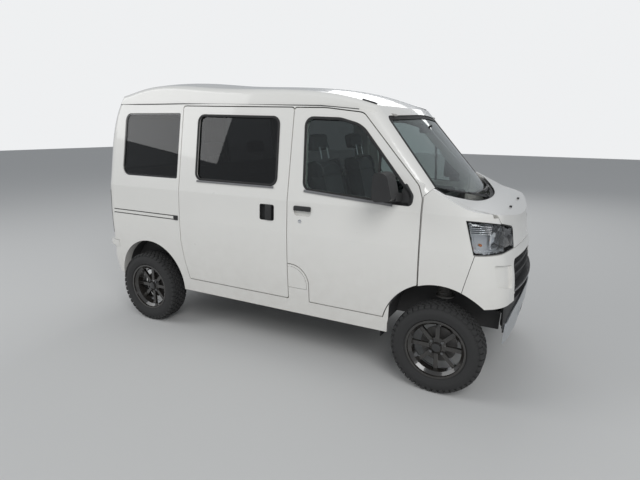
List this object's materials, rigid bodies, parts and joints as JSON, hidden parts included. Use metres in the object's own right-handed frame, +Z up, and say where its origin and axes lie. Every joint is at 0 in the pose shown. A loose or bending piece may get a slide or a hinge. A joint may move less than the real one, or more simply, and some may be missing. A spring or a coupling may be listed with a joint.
{
  "type": "high-roof kei cargo van",
  "caption": "Small white high-roof van on taller all-terrain tyres, with sliding side doors, a top-hinged tailgate, short bonnet and right-hand drive.",
  "frame": {"origin": "on the ground, at the middle of the length and width", "axes": "+X towards the nose, +Y to the van's left, +Z up"},
  "size_m": [3.395, 1.86, 1.9838],
  "materials": {
    "body_white": "glossy white paint",
    "clear_glass": "clear laminated glass",
    "dark_glass": "dark tinted privacy glass",
    "lamp_clear": "clear polycarbonate lamp",
    "lamp_red": "red lamp lens",
    "trim_black": "black moulded plastic",
    "chassis_black": "black chassis paint",
    "floor_paint": "satin grey floor",
    "cast_metal": "rough cast metal",
    "exhaust_steel": "dull steel",
    "guard_metal": "satin aluminium plate",
    "seat_cloth": "dark grey woven cloth",
    "dash_plastic": "dark grained plastic",
    "rim_black": "gloss black alloy",
    "tyre_rubber": "matt black rubber"
  },
  "bodies": {
    "root": {"side_frame_left": "body_white", "side_frame_right": "body_white", "roof_panel": "body_white", "windscreen": "clear_glass", "sliding_door_left": "body_white", "sliding_door_right": "body_white", "side_glass": "dark_glass", "front_fender_left": "body_white", "front_fender_right": "body_white", "front_bumper": "body_white", "headlamps": "lamp_clear", "cowl": "trim_black", "front_grille": "trim_black", "rear_bumper": "body_white", "tail_lamps": "lamp_red", "floor_pan": "floor_paint", "underframe": "chassis_black", "front_suspension": "chassis_black", "rear_axle": "chassis_black", "engine_block": "cast_metal", "exhaust": "exhaust_steel", "fuel_tank": "chassis_black", "driver_seat": "seat_cloth", "passenger_seat": "seat_cloth", "rear_bench": "seat_cloth", "dashboard": "dash_plastic", "steering_wheel": "dash_plastic", "under_guard": "guard_metal", "rear_wheel_houses": "floor_paint", "front_wheel_houses": "floor_paint", "seat_box": "floor_paint", "bulkhead": "floor_paint", "lid_surround": "body_white", "tow_eyes": "chassis_black"},
    "front_door_left": {"front_door_left": "body_white", "door_glass_left": "clear_glass", "mirror_left": "trim_black"},
    "front_door_right": {"front_door_right": "body_white", "door_glass_right": "clear_glass", "mirror_right": "trim_black"},
    "tailgate": {"tailgate": "body_white", "tailgate_glass": "dark_glass"},
    "bonnet": {"bonnet": "body_white"},
    "fuel_lid": {"fuel_lid": "body_white"},
    "knuckle_left": {"knuckle_left": "cast_metal"},
    "knuckle_right": {"knuckle_right": "cast_metal"},
    "wheel_front_left": {"tyre_front_left": "tyre_rubber", "rim_front_left": "rim_black"},
    "wheel_front_right": {"tyre_front_right": "tyre_rubber", "rim_front_right": "rim_black"},
    "wheel_rear_left": {"tyre_rear_left": "tyre_rubber", "rim_rear_left": "rim_black"},
    "wheel_rear_right": {"tyre_rear_right": "tyre_rubber", "rim_rear_right": "rim_black"}
  },
  "joints": [
    {"name": "front_door_left_hinge", "type": "hinge", "parent": "root", "child": "front_door_left", "pos_m": [1.114, 0.731, 0.9], "axis": [0, 0, -1], "range_deg": [0, 65]},
    {"name": "front_door_right_hinge", "type": "hinge", "parent": "root", "child": "front_door_right", "pos_m": [1.114, -0.731, 0.9], "axis": [0, 0, 1], "range_deg": [0, 65]},
    {"name": "tailgate_hinge", "type": "hinge", "parent": "root", "child": "tailgate", "pos_m": [-1.541, 0, 1.838], "axis": [0, 1, 0], "range_deg": [0, 85]},
    {"name": "bonnet_hinge", "type": "hinge", "parent": "root", "child": "bonnet", "pos_m": [1.215, 0, 1.262], "axis": [0, -1, 0], "range_deg": [0, 50]},
    {"name": "fuel_lid_hinge", "type": "hinge", "parent": "root", "child": "fuel_lid", "pos_m": [0.338, -0.733, 0.54], "axis": [0, 0, 1], "range_deg": [0, 85]},
    {"name": "steer_left", "type": "hinge", "parent": "root", "child": "knuckle_left", "pos_m": [1.2575, 0.545, 0.291], "axis": [0, 0, 1], "range_deg": [-30, 30]},
    {"name": "steer_right", "type": "hinge", "parent": "root", "child": "knuckle_right", "pos_m": [1.2575, -0.545, 0.291], "axis": [0, 0, 1], "range_deg": [-30, 30]},
    {"name": "wheel_front_left_spin", "type": "hinge", "parent": "knuckle_left", "child": "wheel_front_left", "pos_m": [1.2575, 0.655, 0.291], "axis": [0, 1, 0], "continuous": true},
    {"name": "wheel_front_right_spin", "type": "hinge", "parent": "knuckle_right", "child": "wheel_front_right", "pos_m": [1.2575, -0.655, 0.291], "axis": [0, 1, 0], "continuous": true},
    {"name": "wheel_rear_left_spin", "type": "hinge", "parent": "root", "child": "wheel_rear_left", "pos_m": [-1.1925, 0.655, 0.291], "axis": [0, 1, 0], "continuous": true},
    {"name": "wheel_rear_right_spin", "type": "hinge", "parent": "root", "child": "wheel_rear_right", "pos_m": [-1.1925, -0.655, 0.291], "axis": [0, 1, 0], "continuous": true}
  ],
  "couplings": [
    {"joint": "steer_right", "follows": "steer_left", "ratio": 1}
  ]
}
